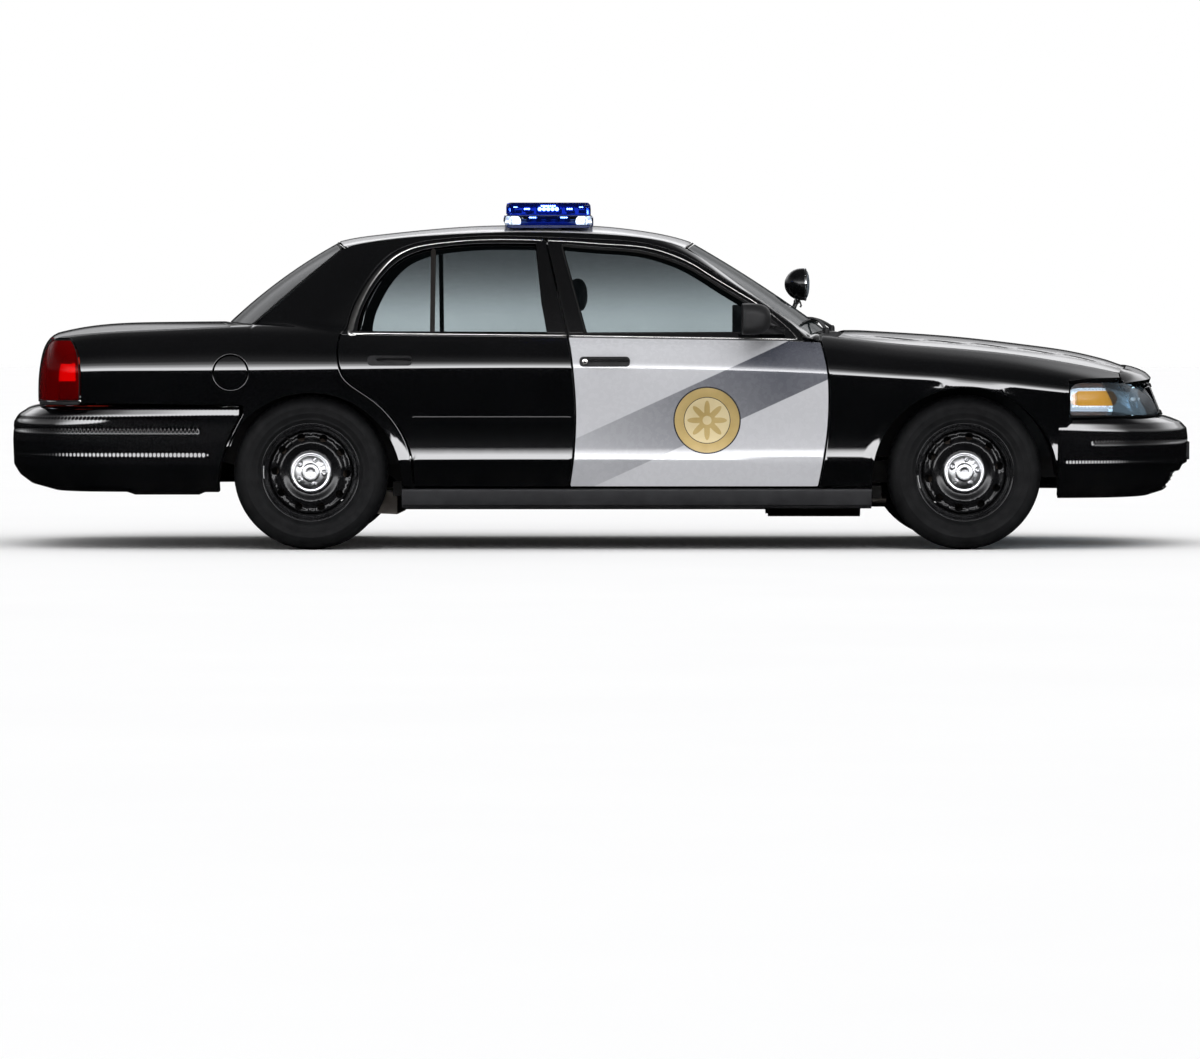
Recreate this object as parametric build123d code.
from build123d import *
import math
import os

# Full-size four-door police patrol sedan, body on frame, in millimetres.
# Row frame: +X forward, +Y to the car's left, +Z up.  Origin on the ground, mid length, on the centre plane.

# ---------------------------------------------------------------- driving dimensions
LENGTH = 5388.0
HALF_L = LENGTH / 2
X_FRONT = 1618.0            # front axle
X_REAR = -1296.0            # rear axle
TRACK_F = 1610.0            # front track
TRACK_R = 1650.0            # rear track
TYRE_R = 345.0
TYRE_W = 235.0
HUB_Z = 345.0               # wheel centre above the ground
GAP = 8.0                   # shut line between a moving panel and its neighbour
DOOR_T = 82.0               # whole door thickness below the belt
FRAME_T = 30.0              # window frame thickness
GLASS_T = 5.0
STEER_Y = 745.0             # kingpin
AXLE_PIN_R = 20.0
BORE_R = 20.06

ARCH = {"front": (1618.0, 308.0, 414.0), "rear": (-1296.0, 295.0, 405.0)}   # centre x, centre z, radius

FUEL_X, FUEL_Z, FUEL_R = -1649.0, 792.0, 75.0     # fuel lid's centre and radius, on the right quarter panel
TAIL_BOW = 62.0             # how far the tail's face sweeps forward 700 mm from the centre plane

# body side and deck, one row per station
# x, half_width, z_shoulder, y_edge, z_edge, z_centre
BODY = [
    (-2620, 838, 768, 686, 914, 930),
    (-2400, 905, 785, 752, 952, 988),
    (-2030, 948, 792, 785, 979, 1016),
    (-1630, 970, 794, 790, 997, 1020),
    (-1150, 981, 800, 765, 1008, 1022),
    (-600, 985, 806, 745, 1008, 1020),
    (0, 985, 806, 740, 1002, 1010),
    (600, 984, 795, 742, 988, 996),
    (1044, 980, 779, 765, 950, 981),
    (1306, 977, 765, 760, 920, 967),
    (1630, 970, 745, 748, 893, 944),
    (1956, 950, 712, 722, 855, 907),
    (2174, 922, 690, 695, 817, 874),
    (2314, 893, 675, 668, 788, 840),
    (2480, 840, 655, 615, 742, 792),
]

# body side below the shoulder: height, inset from the half width
SIDE = [(200, 78), (278, 52), (384, 24), (391, 17), (440, 25), (520, 27), (600, 20), (700, 7)]

# roof rail, edge of the roof panel: x, y, z
RAIL = [
    (-1260, 560, 1320), (-1157, 585, 1353), (-1040, 594, 1376), (-908, 600, 1393), (-773, 604, 1404),
    (-548, 609, 1416), (-277, 612, 1420), (38, 606, 1409), (218, 597, 1390), (363, 582, 1353), (460, 560, 1306),
]
# roof centre line: x, z
ROOF_C = [(-1260, 1364), (-1203, 1383), (-1019, 1415), (-743, 1443), (-559, 1455), (-275, 1459), (-7, 1454),
          (177, 1434), (361, 1397), (416, 1379), (470, 1358)]


def spline(xs, ys):
    """Natural cubic spline through the points."""
    n = len(xs)
    h = [xs[i + 1] - xs[i] for i in range(n - 1)]
    a, b, c, d = [0.0] * n, [1.0] * n, [0.0] * n, [0.0] * n
    for i in range(1, n - 1):
        a[i], b[i], c[i] = h[i - 1], 2 * (h[i - 1] + h[i]), h[i]
        d[i] = 6 * ((ys[i + 1] - ys[i]) / h[i] - (ys[i] - ys[i - 1]) / h[i - 1])
    for i in range(1, n):
        m = a[i] / b[i - 1]
        b[i] -= m * c[i - 1]
        d[i] -= m * d[i - 1]
    s = [0.0] * n
    s[-1] = d[-1] / b[-1]
    for i in range(n - 2, -1, -1):
        s[i] = (d[i] - c[i] * s[i + 1]) / b[i]

    def f(x):
        i = 0
        while i < n - 2 and x > xs[i + 1]:
            i += 1
        t, hh = x - xs[i], h[i]
        u = xs[i + 1] - x
        return (s[i] * u**3 + s[i + 1] * t**3) / (6 * hh) + (ys[i] / hh - s[i] * hh / 6) * u + (ys[i + 1] / hh - s[i + 1] * hh / 6) * t

    return f


F_W, F_ZSH, F_YE, F_ZE, F_ZC = [spline([r[0] for r in BODY], [r[k] for r in BODY]) for k in range(1, 6)]
F_YR, F_ZR = [spline([r[0] for r in RAIL], [r[k] for r in RAIL]) for k in (1, 2)]
F_RC = spline([r[0] for r in ROOF_C], [r[1] for r in ROOF_C])
F_IN = spline([r[0] for r in SIDE], [r[1] for r in SIDE])


def side_low(x):
    """Outer side from the sill up to just under the shoulder: list of (y, z)."""
    k = (F_ZSH(x) - 391) / (806 - 391)
    return [(F_W(x) - i, z if z <= 391 else 391 + (z - 391) * k) for z, i in SIDE]


def side_up(x, ts=(0, 0.25, 0.5, 0.75, 1.0)):
    """Outer side from the shoulder up and in to the hood or deck edge."""
    w, zs, ye, ze = F_W(x), F_ZSH(x), F_YE(x), F_ZE(x)
    ph = math.radians(70)
    k = 0.5 * (w - ye) / math.sin(ph)
    p = [(w, zs), (w, zs + 0.5 * (ze - zs)), (ye + k * math.sin(ph), ze - k * math.cos(ph)), (ye, ze)]
    return [bez(p, t) for t in ts]


def deck(x, ts=(0.0, 0.3, 0.6, 1.0)):
    """Hood or deck from its edge to the centre."""
    ye, ze, zc = F_YE(x), F_ZE(x), F_ZC(x)
    p = [(ye, ze), (ye * 0.72, ze + (zc - ze) * 0.62), (ye * 0.4, zc), (0, zc)]
    return [bez(p, t) for t in ts]


def bez(p, t):
    u = 1 - t
    return tuple(u**3 * p[0][k] + 3 * u * u * t * p[1][k] + 3 * u * t * t * p[2][k] + t**3 * p[3][k] for k in (0, 1))


def side_y(x, z):
    """Half width of the outer side at a height."""
    pts = side_low(x) + side_up(x, [i / 12 for i in range(13)])
    for (y0, z0), (y1, z1) in zip(pts, pts[1:]):
        if z0 <= z <= z1:
            return y0 + (y1 - y0) * (z - z0) / max(z1 - z0, 1e-6)
    return pts[0][0] if z < pts[0][1] else pts[-1][0]


def glass_y(x, z):
    """Half width of the side windows' outer plane."""
    yb = 866 - ((x + 250) / 1150) ** 2 * 22
    yr = 640 - ((x + 250) / 700) ** 2 * 24
    t = (z - 946) / (1379 - 946)
    return yb + (yr - yb) * t + 14 * 4 * t * (1 - t)


# ---------------------------------------------------------------- helpers
def loft(sections):
    """Ruled loft through closed polygons with the same number of corners."""
    return Solid.make_loft([Wire.make_polygon(s, close=True) for s in sections], ruled=True)


def mirror_y(shape):
    return shape.mirror(Plane.XZ)


def both(shape):
    return [shape, mirror_y(shape)]


def prism_y(pts, y0, y1):
    """Polygon in (x, z) extruded from y0 to y1."""
    f = Face(Wire.make_polygon([(x, y0, z) for x, z in pts], close=True))
    return Solid.extrude(f, Vector(0, y1 - y0, 0))


def prism_x(pts, x0, x1):
    f = Face(Wire.make_polygon([(x0, y, z) for y, z in pts], close=True))
    return Solid.extrude(f, Vector(x1 - x0, 0, 0))


def prism_z(pts, z0, z1):
    f = Face(Wire.make_polygon([(x, y, z0) for x, y in pts], close=True))
    return Solid.extrude(f, Vector(0, 0, z1 - z0))


def block(x0, x1, y0, y1, z0, z1):
    return Solid.make_box(x1 - x0, y1 - y0, z1 - z0, Plane((x0, y0, z0)))


def cyl(p, direction, r, length):
    return Solid.make_cylinder(r, length, Plane(origin=p, z_dir=direction))


def solids_of(x):
    if x is None:
        return []
    if isinstance(x, (list, tuple)):
        return [s for y in x for s in solids_of(y)]
    return list(x.solids())


def fuse(*shapes):
    s = [q for x in shapes for q in solids_of(x)]
    out = s[0]
    for q in s[1:]:
        out = out + q
    return out


def biggest(x):
    return max(solids_of(x), key=lambda s: s.volume)


def save(name, *shapes):
    s = [q for x in shapes for q in solids_of(x)]
    body = s[0] if len(s) == 1 else Compound(children=s)
    export_step(body, f"parts/{name}.step")
    print(name, len(s), round(sum(q.volume for q in s) / 1e6, 2), "litres")


def arch_cut(which, grow=0.0, y0=400, y1=1100):
    cx, cz, r = ARCH[which]
    r += grow
    disc = Solid.make_cylinder(r, y1 - y0, Plane(origin=(cx, y0, cz), z_dir=(0, 1, 0)))
    legs = prism_y([(cx - r, cz), (cx + r, cz), (cx + r + 14, 60), (cx - r - 14, 60)], y0, y1)
    return fuse(disc, legs)


def inset_poly(pts, d):
    """Polygon moved inward by d, outward when d is negative (corners counter-clockwise or clockwise)."""
    n = len(pts)
    area = sum(pts[i][0] * pts[(i + 1) % n][1] - pts[(i + 1) % n][0] * pts[i][1] for i in range(n))
    sgn = 1 if area > 0 else -1
    out = []
    for i in range(n):
        (ax, az), (bx, bz), (cx, cz) = pts[i - 1], pts[i], pts[(i + 1) % n]
        l1, l2 = math.hypot(bx - ax, bz - az), math.hypot(cx - bx, cz - bz)
        n1 = (-(bz - az) / l1 * sgn, (bx - ax) / l1 * sgn)
        n2 = (-(cz - bz) / l2 * sgn, (cx - bx) / l2 * sgn)
        k = d / max(0.35, 1 + n1[0] * n2[0] + n1[1] * n2[1])
        out.append((bx + (n1[0] + n2[0]) * k, bz + (n1[1] + n2[1]) * k))
    return out


# ---------------------------------------------------------------- side view outlines (x, z), right where the panels meet
FRONT_EDGE = [(967, 281), (985, 380), (1005, 520), (1012, 662), (1005, 800), (990, 880), (978, 934)]        # fender to front door
MID_EDGE = [(-144, 281), (-128, 390), (-118, 530), (-118, 660), (-128, 790), (-138, 880), (-150, 945)]      # front door to rear door
REAR_EDGE = [(-838, 281), (-842, 380), (-868, 478), (-924, 575), (-1000, 655), (-1092, 720), (-1150, 775), (-1172, 850), (-1174, 915), (-1165, 960)]
MID_TOP = (-252, 1392)
DOOR_TOP_F = [(893, 948), (872, 980), (765, 1066), (687, 1121), (558, 1199), (409, 1291), (317, 1332), (186, 1366), (0, 1382)]
DOOR_TOP_R = [(-556, 1396), (-752, 1380), (-828, 1367), (-912, 1336), (-968, 1298), (-1022, 1238), (-1078, 1150), (-1120, 1050), (-1137, 990), (-1165, 960)]
WIN_F = [(-74, 962), (-139, 1200), (-185, 1366), (-2, 1350), (180, 1334), (300, 1302), (395, 1262), (545, 1170), (672, 1092), (748, 1038), (828, 966)]
WIN_R = [(-235, 964), (-262, 1100), (-290, 1366), (-556, 1367), (-742, 1350), (-810, 1336), (-888, 1304), (-938, 1268), (-990, 1212), (-1042, 1130), (-1080, 1040), (-1092, 968)]

front_door_outline = [(x - GAP / 2, z) for x, z in FRONT_EDGE] + DOOR_TOP_F + [(MID_TOP[0] + GAP / 2, MID_TOP[1])] + \
    [(x + GAP / 2, z) for x, z in reversed(MID_EDGE)]
rear_door_outline = [(x - GAP / 2, z) for x, z in MID_EDGE] + [(MID_TOP[0] - GAP / 2, MID_TOP[1])] + DOOR_TOP_R[:-1] + \
    [(x + GAP / 2, z) for x, z in reversed(REAR_EDGE)]


def door_slab(x, depth_out=0.0, depth_in=None):
    """Closed section of the door wall at a station, between two depths under the skin."""
    low = side_low(x)[1:]
    up = side_up(x, (0, 0.22, 0.42, 0.58))
    hi = [(glass_y(x, z), z) for z in (958, 1100, 1240, 1372, 1400)]
    t_low = DOOR_T if depth_in is None else depth_in
    t_hi = FRAME_T if depth_in is None else depth_in
    out = [(x, y - depth_out, z) for y, z in low + up + hi]
    inn = [(x, y - t_hi, z) for y, z in reversed(hi)] + \
        [(x, up[2][0] - t_low + 12, 925), (x, up[0][0] - t_low, up[0][1]), (x, low[4][0] - t_low, low[4][1]), (x, low[0][0] - t_low, low[0][1])]
    return out + inn


DOOR_X = [-1240, -1100, -850, -500, -120, 300, 650, 860, 1030]


def make_door(outline, window, rear_slant):
    wall = loft([door_slab(x) for x in DOOR_X])
    full = prism_y(outline, 400, 1100)
    door = biggest(wall & full)
    # the inner part of the door is smaller than its skin, so that it swings clear of its neighbours
    step = loft([door_slab(x, 24, 140) for x in DOOR_X])
    ring = step - prism_y(inset_poly(outline, 15), 300, 1200)
    door = biggest(door - ring)
    door = biggest(door - prism_y(window, 300, 1200))
    if rear_slant:
        (x0, z0), (x1, z1) = rear_slant
        # bevel on the window frame's rear edge: it faces back and in
        y0, y1 = glass_y(x0, z0), glass_y(x1, z1)
        wedge = loft([
            [(x0 - 30, y0 + 30, z0), (x0 - 8, y0 + 30, z0), (x0 + 16, y0 - 60, z0), (x0 - 30, y0 - 60, z0)],
            [(x1 - 30, y1 + 30, z1), (x1 - 8, y1 + 30, z1), (x1 + 16, y1 - 60, z1), (x1 - 30, y1 - 60, z1)],
        ])
        door = biggest(door - wedge)
    return door


def make_window(window, x_list, grow=9.0):
    """Side glass: a sheet in the frame's plane, held in the frame's inner groove."""
    sheet = loft([
        [(x, glass_y(x, z) - 12, z) for z in (940, 1100, 1240, 1385)] + [(x, glass_y(x, z) - 12 - GLASS_T, z) for z in (1385, 1240, 1100, 940)]
        for x in x_list
    ])
    return biggest(sheet & prism_y(window, 300, 1200))


def build_doors():
    f = make_door(front_door_outline, WIN_F, [(-150, 945), MID_TOP])
    r = make_door(rear_door_outline, WIN_R, None)
    gf = make_window(WIN_F, [-220, 0, 300, 600, 860])
    gr = make_window(WIN_R, [-1110, -850, -560, -220])
    # mirror on the front door's corner: a foot on the door and a housing on it
    foot = loft([[(740, y, 960), (820, y, 960), (790, y, 1000), (740, y, 1016)] for y in (842, 960)])
    shell = loft([
        [(625, y, z0), (700, y, z0 - 6), (x1, y, z0 + 20), (x1, y, z1 - 25), (700, y, z1), (632, y, z1 - 4)]
        for y, x1, z0, z1 in ((930, 742, 962, 1086), (1040, 752, 958, 1096), (1120, 735, 966, 1088))
    ])
    mirror = biggest(fuse(foot, shell))
    f = biggest(f - foot)
    gf = biggest(gf - foot)
    handle = {}
    for name, x in (("front_door", -60.0), ("rear_door", -1035.0)):
        y = side_y(x + 60, 822)
        handle[name] = loft([
            [(x, y - 20, 842), (x, y + 2, 842), (x, y + 2, 812), (x, y - 20, 806)],
            [(x + 25, y - 20, 852), (x + 25, y + 24, 846), (x + 25, y + 24, 818), (x + 25, y - 20, 806)],
            [(x + 150, y - 20, 850), (x + 150, y + 24, 845), (x + 150, y + 24, 820), (x + 150, y - 20, 806)],
            [(x + 190, y - 20, 838), (x + 190, y + 2, 838), (x + 190, y + 2, 816), (x + 190, y - 20, 808)],
        ])
    f = biggest(fuse(f, handle["front_door"]))
    r = biggest(fuse(r, handle["rear_door"]))
    for side, conv in (("left", lambda s: s), ("right", mirror_y)):
        save(f"front_door_{side}", conv(f))
        save(f"rear_door_{side}", conv(r))
        save(f"front_door_glass_{side}", conv(gf))
        save(f"rear_door_glass_{side}", conv(gr))
        save(f"door_mirror_{side}", conv(mirror))


# ---------------------------------------------------------------- fixed panels
def panel_section(x, t, z_low=None, z_high=None):
    pts = side_low(x) + side_up(x, (0, 0.25, 0.5, 0.75, 0.985))
    out = [(x, y, z) for y, z in pts]
    inn = []
    for i, (y, z) in enumerate(pts):
        (ya, za), (yb, zb) = pts[max(i - 1, 0)], pts[min(i + 1, len(pts) - 1)]
        ll = math.hypot(yb - ya, zb - za)
        ny, nz = -(zb - za) / ll, (yb - ya) / ll
        inn.append((x, y + ny * t, z + nz * t))
    return out + inn[::-1]


def build_fenders():
    xs = [940, 1044, 1306, 1630, 1956, 2174, 2330]
    f = loft([panel_section(x, 22) for x in xs])
    rear_edge = [(x + GAP / 2, z) for x, z in FRONT_EDGE]
    keep = prism_y(rear_edge + [(992, 1060), (2322, 1060), (2322, 756), (2082, 756), (2088, 604), (2094, 572), (2074, 550), (1900, 556), (1620, 560), (1230, 560), (1230, 281)], 500, 1100)
    f = biggest(f & keep)
    f = biggest(f - arch_cut("front"))
    save("front_fenders", both(f))


def build_quarters():
    xs = [-800, -1150, -1400, -1630, -2030, -2400, -2560]
    q = loft([panel_section(x, 22) for x in xs])
    rear_edge = [(x - GAP / 2, z) for x, z in REAR_EDGE]
    keep = prism_y(rear_edge + [(-1180, 1060), (-2446, 1060), (-2446, 942), (-2374, 942), (-2344, 906), (-2324, 850), (-2316, 760), (-2318, 652), (-1600, 644), (-1296, 560), (-870, 281)], 500, 1100)
    q = biggest(q & keep)
    q = biggest(q - arch_cut("rear"))
    right = biggest(mirror_y(q) - cyl((FUEL_X, -1100, FUEL_Z), (0, 1, 0), FUEL_R + 5, 400))
    save("quarter_panels", q, right)
    # fuel lid: a round piece of the same skin
    lid = loft([[(x, y, z) for z in (690, 742, 792, 842, 890) for y in (side_y(x, z),)] + [(x, side_y(x, z) - 6, z) for z in (890, 842, 792, 742, 690)] for x in (-1740, -1649, -1560)])
    lid = mirror_y(lid) & cyl((FUEL_X, -1100, FUEL_Z), (0, 1, 0), FUEL_R, 400)
    save("fuel_lid", biggest(lid))


def build_roof_frame():
    # side view stations: lower outer x y z, upper outer x y z
    st = [
        (900, 846, 942, 946, 752, 948),
        (800, 812, 1052, 833, 712, 1032),
        (694, 766, 1130, 716, 677, 1115),
        (560, 720, 1210, 556, 629, 1229),
        (412, 676, 1302, 389, 583, 1347),
        (320, 655, 1345, 330, 586, 1365),
        (190, 641, 1376, 205, 600, 1392),
        (10, 634, 1394, 30, 606, 1409),
        (-270, 630, 1404, -277, 612, 1420),
        (-556, 626, 1406, -548, 609, 1416),
        (-760, 618, 1392, -773, 604, 1403),
        (-900, 612, 1370, -908, 600, 1392),
    ]
    secs = []
    for xl, yl, zl, xu, yu, zu in st:
        dx, dy, dz = 0.0, -34.0, -8.0
        if xl > 300:
            dx, dy, dz = -22.0, -34.0, -8.0
        secs.append([(xl, yl, zl), (xu, yu, zu), (xu + dx, yu + dy, zu + dz), (xl + dx, yl + dy, zl + dz)])
    rail = loft(secs)
    # rear pillar: levels z, front x, back x, back y
    lev = [(955, -1130, -1600, 735), (1003, -1120, -1557, 705), (1100, -1060, -1447, 672), (1200, -1000, -1334, 638), (1290, -920, -1232, 606), (1348, -870, -1166, 584), (1385, -870, -1040, 596)]
    secs = []
    for z, xf, xb, yb in lev:
        yf = glass_y(xf, z) if z < 1380 else 614
        f = lambda u: (xf + (xb - xf) * u, yf + (yb - yf) * u**1.7)
        pts = [f(0), f(0.35), f(0.7), f(1.0)]
        secs.append([(x, y, z) for x, y in pts] + [(x + (12 if i == 3 else 0), y - 30, z) for i, (x, y) in reversed(list(enumerate(pts)))])
    pillar = loft(secs)
    shut = inset_poly(rear_door_outline, -GAP)
    pillar = biggest(pillar - prism_y(shut, 300, 1200))
    rail = biggest(rail - prism_y(shut, 300, 1200))
    rail = biggest(rail - prism_y(inset_poly(front_door_outline, -GAP), 300, 1200))
    frame = biggest(fuse(rail, pillar))
    # what stands in the quarter panel's or fender's skin is cut away
    q = loft([panel_section(x, 60) for x in (-1000, -1150, -1400, -1630, -1700)])
    frame = biggest(frame - q)
    save("roof_frames", both(frame))
    return frame


def build_roof(frame):
    xs = [-1240, -1157, -1040, -908, -773, -548, -277, 38, 218, 363, 445]
    secs = []
    for x in xs:
        y, zr, zc = F_YR(x) - 1.5, F_ZR(x) + 3, F_RC(x)
        top = [(k * y, zr + (zc - zr) * (1 - abs(k) ** 2.4)) for k in (1, 0.85, 0.6, 0.3, 0, -0.3, -0.6, -0.85, -1)]
        secs.append([(x, a, b) for a, b in top] + [(x, a * 0.95, b - 26) for a, b in reversed(top)])
    r = loft(secs)
    n = 8
    front = [(416 - 40 * (k / n) ** 2 - 4, 620 * k / n) for k in range(n, -n - 1, -1)]
    back = [(-1203 + 45 * (k / n) ** 2 + 4, 620 * k / n) for k in range(-n, n + 1)]
    r = biggest(r & prism_z(front + back, 1200, 1600))
    return biggest(r - frame - mirror_y(frame))


def screen(base, side_base, top, side_top, t, bulge, pull=1.0):
    """Bowed screen between two pillars: ruled along y through planar quads."""
    (bx, bz), (sx, sy, sz), (tx, tz), (ux, uy, uz) = base, side_base, top, side_top
    ys = [sy - 3, (sy * 0.66 + uy * 0.34), (sy * 0.33 + uy * 0.67), uy, uy * 0.7, uy * 0.35, 0]
    ys = ys + [-y for y in reversed(ys[:-1])]
    secs = []
    for y in ys:
        a = abs(y)
        k = (a / sy) ** 2
        p = (bx + (sx - bx) * k, bz + (sz - bz) * k)
        if a > uy:
            s = (sy - a) / (sy - uy)
            q = (sx + (ux - sx) * s, sz + (uz - sz) * s)
        else:
            k2 = (a / uy) ** 2
            q = (tx + (ux - tx) * k2, tz + (uz - tz) * k2)
        ll = math.hypot(q[0] - p[0], q[1] - p[1])
        nx, nz = (q[1] - p[1]) / ll, -(q[0] - p[0]) / ll
        if nz < 0:
            nx, nz = -nx, -nz
        b = bulge * min(1.0, ll / 600)
        m = ((p[0] + q[0]) / 2 + nx * b, (p[1] + q[1]) / 2 + nz * b)
        secs.append([(v[0], y, v[1]) for v in (p, m, q)] + [(v[0] - nx * t, y, v[1] - nz * t) for v in (q, m, p)])
    return loft(secs)


def build_screens(frame):
    w = screen((1030, 978), (930, 742, 955), (420, 1374), (383, 574, 1346), 6, 10)
    r = screen((-1706, 1014), (-1566, 716, 1002), (-1208, 1378), (-1172, 574, 1342), 5, 22)
    return [biggest(p - frame - mirror_y(frame)) for p in (w, r)]


def build_lids():
    xs = [1030, 1306, 1630, 1956, 2174, 2314, 2420]
    secs = []
    for x in xs:
        top = deck(x, (0.0, 0.15, 0.4, 0.7, 1.0))
        ye = F_YE(x)
        top = [(y - 6 * (y / ye), z) for y, z in top]
        pts = top + [(-y, z) for y, z in reversed(top[:-1])]
        secs.append([(x, y, z) for y, z in pts] + [(x, y * 0.985, z - 22) for y, z in reversed(pts)])
    hood = loft(secs)
    n = 6
    back = [(1112 - 62 * (k / n) ** 2, 800 * k / n) for k in range(n, -n - 1, -1)]
    front = [(2395 - 98 * (k / n) ** 2, 760 * k / n) for k in range(-n, n + 1)]
    hood = biggest(hood & prism_z(back + front, 600, 1200))
    save("hood", hood)
    # trunk lid: deck and rear face
    xs = [-1700, -2030, -2250, -2400, -2520]
    secs = []
    for x in xs:
        top = deck(x, (0.0, 0.15, 0.4, 0.7, 1.0))
        ye = F_YE(x)
        top = [(y - 6 * (y / ye), z) for y, z in top]
        pts = top + [(-y, z) for y, z in reversed(top[:-1])]
        secs.append([(x, y, z) for y, z in pts] + [(x, y * 0.985, z - 22) for y, z in reversed(pts)])
    lid = loft(secs)
    front = [(-1746 + 90 * (k / n) ** 2, 800 * k / n) for k in range(-n, n + 1)]
    back = [(-2506 + TAIL_BOW * (800 * k / n / 700) ** 2, 800 * k / n) for k in range(n, -n - 1, -1)]
    lid = biggest(lid & prism_z(front + back, 600, 1200))
    secs = []
    bow = lambda y: TAIL_BOW * (y / 700) ** 2
    # tail face: height, x on the centre plane, half width
    for z, xr, yr in ((650, -2574, 552), (760, -2573, 556), (850, -2561, 600), (900, -2547, 668), (932, -2529, 726), (950, -2514, 736)):
        ys = [yr * k / 6 for k in range(6, -7, -1)]
        secs.append([(xr + bow(y), y, z) for y in ys] + [(xr + bow(y) + 26, y * 0.97, z) for y in reversed(ys)])
    face = loft(secs)
    lid = biggest(fuse(lid, face))
    save("trunk_lid", lid)


def plan_curve(x0, xf, ys, frac):
    return [(x0 + (xf - x0) * a, ys * b) for a, b in frac]


FRONT_PLAN = [(0, 1), (0.16, 0.985), (0.33, 0.95), (0.5, 0.893), (0.65, 0.8), (0.79, 0.665), (0.9, 0.49), (0.97, 0.26), (1, 0)]
REAR_PLAN = [(0, 1), (0.18, 0.993), (0.36, 0.978), (0.52, 0.957), (0.66, 0.925), (0.79, 0.86), (0.9, 0.72), (0.965, 0.5), (0.992, 0.26), (1, 0)]


def bumper(levels, x0, plan, t):
    secs = []
    for z, xf, ys in levels:
        half = plan_curve(x0, xf, ys, plan)
        full = half + [(x, -y) for x, y in reversed(half[:-1])]
        inn = []
        n = len(full)
        for i, (x, y) in enumerate(full):
            (xa, ya), (xb, yb) = full[max(i - 1, 0)], full[min(i + 1, n - 1)]
            ll = math.hypot(xb - xa, yb - ya)
            sg = 1 if xf > x0 else -1
            nx, ny = sg * (yb - ya) / ll, -sg * (xb - xa) / ll
            inn.append((x + nx * t, y + ny * t))
        inn[0] = (full[0][0], full[0][1] - t)
        inn[-1] = (full[-1][0], full[-1][1] + t)
        secs.append([(x, y, z) for x, y in full] + [(x, y, z) for x, y in reversed(inn)])
    return loft(secs)


def build_bumpers():
    lv = [(226, 2500, 850), (250, 2580, 872), (290, 2630, 892), (368, 2668, 915), (374, 2690, 917), (478, 2694, 917), (532, 2682, 914), (562, 2646, 912), (580, 2606, 906), (588, 2590, 898)]
    b = bumper(lv, 2034, FRONT_PLAN, 30)
    b = biggest(b - arch_cut("front", 0, -1100, 1100))
    for q in both(prism_y([(1990, 546), (2078, 540), (2100, 568), (2094, 620), (1990, 620)], 500, 1100)):
        b = biggest(b - q)
    pad = block(2640, HALF_L, -155, 155, 385, 470)
    b = biggest(fuse(b, pad))
    for y in (-89, 89):
        b = b - cyl((2600, y, 428), (1, 0, 0), 3.2, 120)
    save("front_bumper", biggest(b))
    lv = [(248, -2470, 905), (285, -2606, 928), (325, -2660, 940), (371, -2690, 950), (480, -2694, 949), (564, -2690, 946), (600, -2655, 946), (628, -2610, 942), (636, -2592, 930)]
    b = bumper(lv, -1610, REAR_PLAN, 30)
    b = b - arch_cut("rear", 0, -1100, 1100)
    save("rear_bumper", biggest(b))


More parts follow.
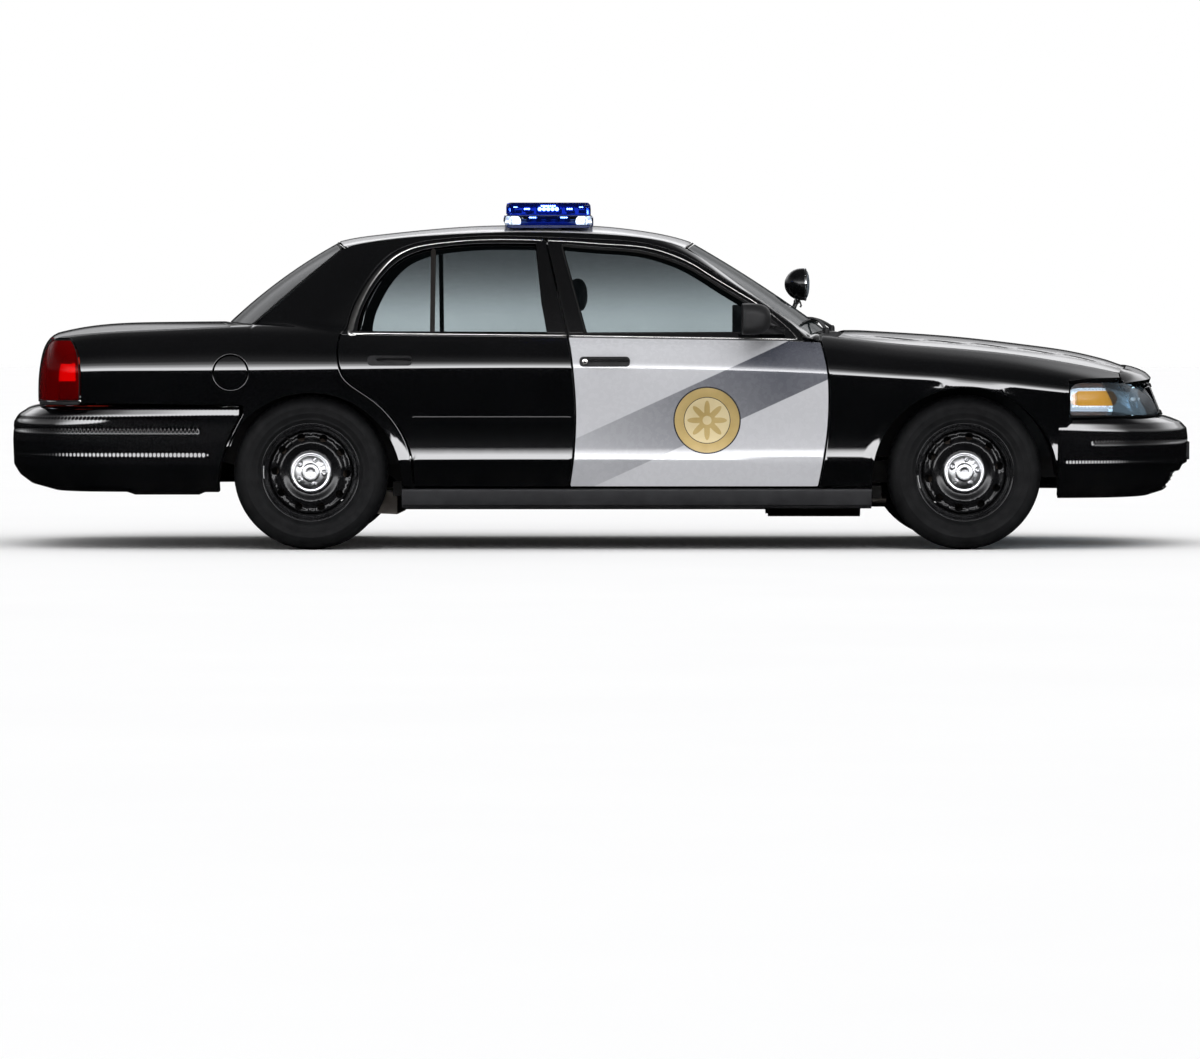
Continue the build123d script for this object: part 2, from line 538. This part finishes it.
def build_front_end():
    # header panel between the hood, the lamps and the grille: |y|, rear x z, front x z
    tab = [(800, 2262, 742, 2275, 738), (735, 2290, 762, 2335, 748), (640, 2338, 790, 2400, 757), (500, 2363, 801, 2462, 764), (300, 2387, 812, 2500, 771), (0, 2404, 817, 2514, 774)]
    tab = tab + [(-a, b, c, d, e) for a, b, c, d, e in reversed(tab[:-1])]
    head = loft([[(xr, y, zr), (xf, y, zf), (xf - 6, y, zf - 22), (xr, y, zr - 24)] for y, xr, zr, xf, zf in tab])
    side = loft([panel_section(x, 26) for x in (2174, 2250, 2314, 2326)])
    lamp = loft([[(2084, 1000, z), (2084, 730, z), (2330, 560, z), (2400, 455, z), (2600, 455, z), (2600, 1000, z)] for z in (580, 736)])
    for q in both(side) + both(lamp):
        head = biggest(head - q)
    save("header_panel", head)
    # grille: |y|, top x, bottom x
    tab = [(452, 2475, 2533), (300, 2496, 2556), (150, 2506, 2566), (0, 2510, 2570)]
    tab = tab + [(-a, b, c) for a, b, c in reversed(tab[:-1])]
    grille = loft([[(xt, y, 741), (xb, y, 592), (xb - 26, y, 592), (xt - 26, y, 741)] for y, xt, xb in tab])
    save("grille", grille)
    secs = []
    for z, d, e in ((592, 0, 0), (665, -28, 6), (732, -84, 12)):
        ys = side_y(2086, z)
        p = [(2086, ys), (2150, ys - 20), (2245, ys - 70), (2350 + d * 0.35, ys - 150), (2445 + d * 0.8, 660 - e), (2500 + d, 530 - e), (2522 + d, 460)]
        q = [(2425 + d, 460), (2400 + d, 560), (2340 + d * 0.5, 640), (2260, 720), (2170, 790), (2120, 830), (2086, 850)]
        secs.append([(x, y, z) for x, y in p + q])
    lamp = loft(secs)
    wing = loft([panel_section(x, 26) for x in (2060, 2174, 2250, 2314, 2326)])
    save("headlamps", both(biggest(lamp - wing & block(2086, 2600, 400, 1000, 590, 740))))
    secs = []
    # tail lamp: height, front end on the side, x of the tail face on the centre plane, half width where it meets the lid
    for z, xs, xr, yi in ((660, -2322, -2575, 562), (760, -2320, -2573, 566), (850, -2328, -2561, 612), (900, -2346, -2547, 684), (936, -2371, -2528, 756)):
        y0 = side_y(xs, z)
        yc = min(718, yi + 0.45 * (y0 - yi))
        bow = lambda y: xr + TAIL_BOW * (y / 700) ** 2
        q = [(xs, y0), (xs - 0.55 * (xs - bow(yc)), y0 - 8), (bow(yc) + 16, yc + 0.6 * (y0 - yc)), (bow(yc), yc)]
        p = [bez(q, t) for t in (0, 0.25, 0.5, 0.75, 1)] + [(bow((yc + yi) / 2), (yc + yi) / 2), (bow(yi), yi)]
        d = min(60.0, 0.3 * (xs - xr))
        p += [(bow(yi) + d, yi), (xs - 0.5 * (xs - xr), yi + 0.5 * (y0 - yi)), (xs, y0 - d)]
        secs.append([(x, y, z) for x, y in p])
    tail = loft(secs)
    wing = loft([panel_section(x, 24) for x in (-2290, -2340, -2400, -2446)])
    keep = prism_y([(-2290, 1060), (-2450, 1060), (-2450, 938), (-2376, 938), (-2348, 904), (-2328, 850), (-2320, 760), (-2322, 640), (-2290, 640)], 500, 1100)
    save("tail_lamps", both(biggest(tail - (wing & keep))))


# ---------------------------------------------------------------- structure and floor
def build_structure():
    # perimeter frame rail: x, y, z centre, half width, half height
    path = [(-2500, 470, 400, 32, 45), (-1850, 470, 430, 32, 45), (-1500, 480, 480, 32, 45), (-1100, 490, 480, 32, 45), (-860, 580, 300, 32, 48), (-700, 640, 246, 34, 50),
            (800, 650, 246, 34, 50), (1000, 560, 262, 34, 50), (1180, 420, 330, 34, 50), (1400, 410, 350, 34, 50), (2400, 410, 370, 34, 50), (2480, 420, 400, 34, 50)]
    rail = loft([[(x, y - a, z - b), (x, y + a, z - b), (x, y + a, z + b), (x, y - a, z + b)] for x, y, z, a, b in path])
    pads = [block(-640, -560, 616, 676, 184, 200), block(640, 720, 620, 680, 184, 200)]
    rail = biggest(fuse(rail, *pads))
    # crossmembers: x, half width in x, z low, z high, y reach
    cross = [(-2440, 30, 372, 430, 470), (-1000, 30, 446, 500, 490), (180, 45, 232, 292, 645), (X_FRONT, 90, 222, 288, 420), (2385, 30, 330, 400, 410)]
    bars = [block(x - a, x + a, -y, y, z0, z1) for x, a, z0, z1, y in cross] + both(block(X_FRONT - 90, X_FRONT + 90, 380, 440, 222, 330))
    save("frame_rails", both(rail))
    cross = []
    for b in bars[:5]:
        w = b
        if b is bars[3]:
            w = fuse(b, bars[5], bars[6])
        for q in both(rail):
            w = w - q
        cross.append(biggest(w))
    save("frame_crossmembers", cross)
    hat = [(-775, 304), (-140, 304), (-118, 424), (118, 424), (140, 304), (775, 304), (775, 316), (152, 316), (130, 436), (-130, 436), (-152, 316), (-775, 316)]
    front = prism_x(hat, -842, 1064)
    rear = prism_y([(-842, 304), (-872, 540), (-1735, 540), (-1775, 490), (-2485, 490), (-2485, 502), (-1768, 502), (-1728, 552), (-860, 552), (-828, 304)], -680, 680)
    plug = prism_x([(-152, 306), (-130, 434), (130, 434), (152, 306)], -842, -834)
    pan = fuse(front, rear, plug)
    grown = loft([[(x, y - a - 4, z - b - 4), (x, y + a + 4, z - b - 4), (x, y + a + 4, z + b + 4), (x, y - a - 4, z + b + 4)] for x, y, z, a, b in path])
    for q in both(grown):
        pan = pan - q
    save("floor_pan", biggest(pan))
    wall = block(1076, 1088, -776, 776, 304, 884)
    toe = block(1064, 1088, -775, 775, 304, 340)
    cowl = prism_y([(944, 914), (1046, 914), (1076, 872), (1088, 872), (1088, 886), (1054, 928), (944, 928)], -735, 735)
    posts = both(block(1030, 1088, 776, 836, 284, 872))
    wall = fuse(wall, toe, cowl, *posts) - block(1050, 1100, -154, 154, 290, 438)
    for q in both(grown):
        wall = wall - q
    save("firewall", biggest(wall))
    sill = prism_x([(776, 200), (868, 183), (908, 194), (921, 268), (916, 274), (836, 276), (822, 302), (776, 302)], -892, 1028)
    ext = prism_x([(836, 200), (868, 183), (908, 194), (921, 268), (916, 276), (836, 276)], 1028, 1205)
    sill = biggest(fuse(sill, ext) - arch_cut("front") - arch_cut("rear"))
    save("sills", both(sill))
    lev = [(303, -75, -195, 785, 838), (600, -70, -185, 800, 868), (800, -90, -190, 790, 868), (946, -140, -215, 730, 778), (1150, -185, -245, 680, 722), (1364, -225, -285, 580, 594)]
    post = loft([[(xf, y0, z), (xf, y1, z), (xr, y1, z), (xr, y0, z)] for z, xf, xr, y0, y1 in lev])
    save("centre_pillars", both(post))
    shelf = prism_y([(-1180, 553), (-1240, 975), (-1640, 985), (-1640, 975), (-1250, 963), (-1194, 553)], -680, 680)
    # painted strip between the rear window and the trunk lid
    secs = []
    for y in (-756, -600, -400, -200, 0, 200, 400, 600, 756):
        k = (y / 716) ** 2
        xf, zf = -1709 + 140 * min(k, 1.02), 1012 - 12 * k
        xb = -1746 + 90 * (y / 800) ** 2 + 7
        secs.append([(xf, y, zf), (xb, y, zf + 1), (xb, y, zf - 12), (xf, y, zf - 12)])
    save("parcel_shelf", shelf, loft(secs))
    # wheelhouse liners
    skin = [loft([panel_section(x, 26) for x in xs]) for xs in ((1100, 1306, 1630, 1956, 2174), (-1760, -1630, -1400, -1150, -860))]
    out = []
    for which, y0, y1 in (("front", 545, 930), ("rear", 684, 935)):
        cx, cz, r = ARCH[which]
        r += 9
        ring = Solid.make_cylinder(r + 5, y1 - y0, Plane(origin=(cx, y0, cz), z_dir=(0, 1, 0))) - Solid.make_cylinder(r, y1 - y0, Plane(origin=(cx, y0, cz), z_dir=(0, 1, 0)))
        ring = biggest(ring & block(cx - 460, cx + 460, y0 - 1, y1 + 1, cz + 20, 900))
        low = block(cx - 460, cx + 460, 860, y1 + 1, 300, 660)
        ring = biggest(ring - skin[0] - skin[1] - low)
        out += both(ring)
    save("wheel_liners", out)


def build_engine_bay():
    # inner fender: wall beside the engine and the shelf over it out to the fender
    secs = []
    for x, drop in ((1092, 52), (1306, 52), (1630, 52), (1956, 52), (2076, 52), (2280, 62)):
        zf, ye = F_ZE(x) - drop, F_YE(x) - 34
        secs.append([(x, 478, 404), (x, 488, 404), (x, 488, zf - 10), (x, ye, zf - 10), (x, ye, zf), (x, 478, zf)])
    apron = loft(secs)
    save("inner_fenders", both(apron))
    save("radiator", block(2330, 2376, -370, 370, 404, 752))


def build_drive():
    save("engine", block(1280, 1900, -270, 270, 300, 800))
    tail = fuse(
        cyl((1180, 215, 190), (-1, 0, 0), 62, 420), cyl((1180, -215, 190), (-1, 0, 0), 62, 420),
        cyl((1300, 215, 200), (-1, 0, 0), 28, 200), cyl((1300, -215, 200), (-1, 0, 0), 28, 200),
        cyl((800, 215, 190), (-1, 0, 0), 30, 1700), cyl((800, -215, 190), (-1, 0, 0), 30, 1700),
    )
    pipes = [p for p in solids_of(tail)]
    muff = []
    for s in (1, -1):
        muff.append(loft([[(x, s * (y - a), z - b), (x, s * (y + a), z - b), (x, s * (y + a), z + b), (x, s * (y - a), z + b)] for x, y, z, a, b in
                          ((-895, 215, 190, 34, 34), (-930, 215, 192, 85, 52), (-1130, 215, 200, 85, 52), (-1160, 215, 205, 34, 34))]))
    save("exhaust", pipes, muff)
    save("fuel_tank", loft([[(x, -330, z0), (x, 330, z0), (x, 370, z0 + 60), (x, 370, 480), (x, -370, 480), (x, -370, z0 + 60)] for x, z0 in ((-1800, 262), (-1830, 230), (-2120, 230), (-2330, 300))]))
    y = TRACK_R / 2
    tube = fuse(
        cyl((X_REAR, -(y - 92), HUB_Z), (0, 1, 0), 42, 2 * (y - 92)),
        Solid.make_sphere(120, Plane(origin=(X_REAR, 0, HUB_Z)), angle1=-90, angle2=90, angle3=360),
        *both(cyl((X_REAR, y - 96, HUB_Z), (0, 1, 0), AXLE_PIN_R, 92)),
    )
    save("rear_axle", biggest(tube))
    shaft = fuse(cyl((-1170, 0, 345), (1, 0, 0.012), 42, 1850), block(690, 1279, -120, 120, 250, 400))
    save("gearbox_and_driveshaft", biggest(shaft))
    arms = []
    for z, yo, h in ((222, 722, 26), (486, 700, 18)):
        arms.append(prism_z([(X_FRONT + 150, 492), (X_FRONT + 45, yo - 40), (X_FRONT + 30, yo), (X_FRONT - 30, yo), (X_FRONT - 45, yo - 40), (X_FRONT - 150, 492)], z, z + h))
    save("front_control_arms", [both(a) for a in arms])
    # knuckle: upright between the arms, spindle out to the wheel
    up = loft([[(X_FRONT + a, y0, z), (X_FRONT + a, y1, z), (X_FRONT - a, y1, z), (X_FRONT - a, y0, z)] for z, a, y0, y1 in
               ((250, 22, 690, 722), (300, 40, 690, 722), (400, 40, 690, 722), (480, 18, 684, 712))])
    spin = cyl((X_FRONT, 712, HUB_Z), (0, 1, 0), AXLE_PIN_R, 88)
    kn = biggest(fuse(up, spin))
    save("front_knuckle_left", kn)
    save("front_knuckle_right", mirror_y(kn))


def wheel_parts(yc):
    """Tyre and steel wheel about the Y axis, outer face towards +Y, centred on the tyre's middle plane."""
    w = TYRE_W / 2
    prof = [(216, -88), (216, -96), (240, -108), (285, -w), (318, -w + 6), (338, -w + 22), (TYRE_R, -w + 44), (TYRE_R, w - 44), (338, w - 22), (318, w - 6), (285, w), (240, 108), (216, 96), (216, 88),
            (222, 80), (222, -80)]
    face = Face(Wire.make_polygon([(r, 0, a) for r, a in prof], close=True))
    tyre = Solid.revolve(face, 360, Axis.Z)
    # rim barrel, disc and hub in one section: radius, offset
    rim = [(BORE_R, -60), (64, -60), (64, -30), (120, -30), (120, -44), (160, -44), (160, -28), (70, -18), (70, 22), (100, 44), (132, 52), (150, 34), (180, 40), (190, 30), (190, -88), (214, -92), (214, -84), (198, -78), (198, 78), (214, 84), (214, 98), (232, 98), (232, 92)]
    rim = [(BORE_R, -70), (60, -70), (60, -34), (158, -34), (158, -22), (72, -22), (72, 30), (98, 42), (132, 50), (150, 34), (176, 38), (186, 28), (186, -84), (214, -90), (214, -80), (194, -74), (194, 70), (214, 82), (214, 92), (200, 92), (186, 76), (184, 40),
           (176, 50), (150, 46), (132, 62), (96, 54), (92, 70), (70, 84), (30, 90), (BORE_R, 90)]
    f2 = Face(Wire.make_polygon([(r, 0, a) for r, a in rim], close=True))
    disc = Solid.revolve(f2, 360, Axis.Z)
    cap = Solid.make_cylinder(BORE_R + 2, 8, Plane(origin=(0, 0, 82)))
    disc = biggest(disc + cap)
    holes = [Solid.make_cylinder(17, 60, Plane(origin=(163 * math.cos(math.radians(18 + 36 * i)), 163 * math.sin(math.radians(18 + 36 * i)), 10))) for i in range(10)]
    for h in holes:
        disc = disc - h
    disc = biggest(disc)
    loc = Location((0, yc, HUB_Z)) * Location((0, 0, 0), (-90, 0, 0))
    return [s.moved(loc) for s in (tyre, disc)]


def build_wheels():
    for where, x, track in (("front", X_FRONT, TRACK_F), ("rear", X_REAR, TRACK_R)):
        t, d = wheel_parts(track / 2)
        t, d = [s.moved(Location((x, 0, 0))) for s in (t, d)]
        for side, conv in (("left", lambda s: s), ("right", mirror_y)):
            save(f"{where}_tyre_{side}", conv(t))
            save(f"{where}_wheel_{side}", conv(d))


def build_cabin():
    dash = prism_y([(1040, 905), (880, 905), (760, 860), (740, 780), (800, 700), (900, 640), (1060, 600), (1060, 868)], -745, 745)
    save("dashboard", dash)
    seats = []
    for s in (1, -1):
        y0, y1 = (s * 150, s * 650) if s > 0 else (s * 650, s * 150)
        cushion = prism_y([(430, 400), (420, 545), (350, 570), (-60, 520), (-100, 500), (-80, 380), (0, 360), (380, 370)], y0, y1)
        back = prism_y([(-95, 505), (55, 545), (-60, 760), (-120, 1020), (-200, 1020), (-210, 760)], y0 + 10, y1 - 10)
        head = prism_y([(-66, 1056), (-62, 1200), (-80, 1220), (-130, 1220), (-152, 1200), (-158, 1056)], (y0 + y1) / 2 - 140, (y0 + y1) / 2 + 140)
        stalk = prism_y([(-132, 1015), (-108, 1060), (-140, 1060), (-170, 1015)], (y0 + y1) / 2 - 60, (y0 + y1) / 2 + 60)
        seats.append(biggest(fuse(cushion, back, head, stalk)))
    save("front_seats", seats)
    bench = biggest(fuse(
        prism_y([(-560, 556), (-540, 610), (-600, 650), (-1000, 600), (-1060, 580), (-1060, 556)], -640, 640),
        prism_y([(-1000, 596), (-930, 640), (-1090, 930), (-1130, 950), (-1210, 950), (-1170, 596)], -640, 640),
    ))
    save("rear_seat", bench)
    centre, axis = (640, 370, 850), (-0.87, 0, 0.49)
    pl = Plane(origin=centre, z_dir=axis)
    ring = Solid.make_torus(185, 15, pl)
    hub = Solid.make_cylinder(52, 34, Plane(origin=(centre[0] + 0.87 * 30, centre[1], centre[2] - 0.49 * 30), z_dir=axis))
    spokes = [loft([[pl.from_local_coords((r * math.cos(a) - w * math.sin(a), r * math.sin(a) + w * math.cos(a), h)) for w, h in ((-18, -8), (18, -8), (18, 6), (-18, 6))] for r in (30, 180)]) for a in (math.radians(90), math.radians(-90), math.radians(0))]
    wheel = biggest(fuse(ring, hub, *spokes))
    save("steering_wheel", wheel)


def build_equipment():
    # light bar: half length in y, end shape stepped as seen from the side
    x0, x1, yb = -442, -38, 590
    secs = []
    for y, zb, d in ((-yb - 6, 1446, 22), (-yb, 1436, 0), (-530, 1444, 0), (-430, 1470, 0), (430, 1470, 0), (530, 1444, 0), (yb, 1436, 0), (yb + 6, 1446, 22)):
        secs.append([(x0 + d, y, zb + 42), (x0 + 4 + d, y, zb), (x1 - 4 - d, y, zb), (x1 - d, y, zb + 42), (x1 - 12 - d, y, 1492), (x1 - 16 - d, y, 1545 - d), (x1 - 26 - d, y, 1553 - d),
                     (x0 + 26 + d, y, 1553 - d), (x0 + 16 + d, y, 1545 - d), (x0 + 12 + d, y, 1492)])
    bar = loft(secs)
    roof_under = loft([[(x, a, b) for a, b in ((700, 1380), (F_YR(x), F_ZR(x) + 4), (400, F_RC(x) - 4), (0, F_RC(x) + 2), (-400, F_RC(x) - 4), (-F_YR(x), F_ZR(x) + 4), (-700, 1380))] for x in (-480, -277, 38)])
    feet = [block(-290, -190, s * 560 - 16, s * 560 + 16, F_ZR(-240) - 10, 1450) for s in (1, -1)]
    bar = biggest(fuse(bar, *feet) - roof_under)
    save("light_bar", bar)
    lamp = Solid.revolve(Face(Wire.make_polygon([(0, 0, -62), (28, 0, -58), (58, 0, -36), (74, 0, -4), (76, 0, 22), (70, 0, 34), (0, 0, 46)], close=True)), 360, Axis.Z)
    lamp = lamp.moved(Location((928, 800, 1194)) * Location((0, 0, 0), (0, 90, 0)))
    stem = loft([[(905, 792, 1130), (925, 792, 1130), (925, 808, 1130), (905, 808, 1130)], [(880, 768, 1052), (900, 768, 1052), (900, 784, 1052), (880, 784, 1052)]])
    foot = loft([[(x, 850, 1012), (x, 834, 1070), (x, 784, 1084), (x, 790, 1030)] for x in (852, 892)])
    save("spotlight", biggest(fuse(lamp, stem, foot)))


def main():
    os.makedirs("parts", exist_ok=True)
    for old in os.listdir("parts"):
        if old.endswith(".step"):
            os.remove(os.path.join("parts", old))
    build_doors()
    build_fenders()
    build_quarters()
    frame = build_roof_frame()
    roof = build_roof(frame)
    w, r = build_screens(frame)
    save("windshield", w)
    save("rear_window", r)
    save("roof_panel", roof)
    build_lids()
    build_bumpers()
    build_front_end()
    build_structure()
    build_engine_bay()
    build_drive()
    build_wheels()
    build_cabin()
    build_equipment()


main()
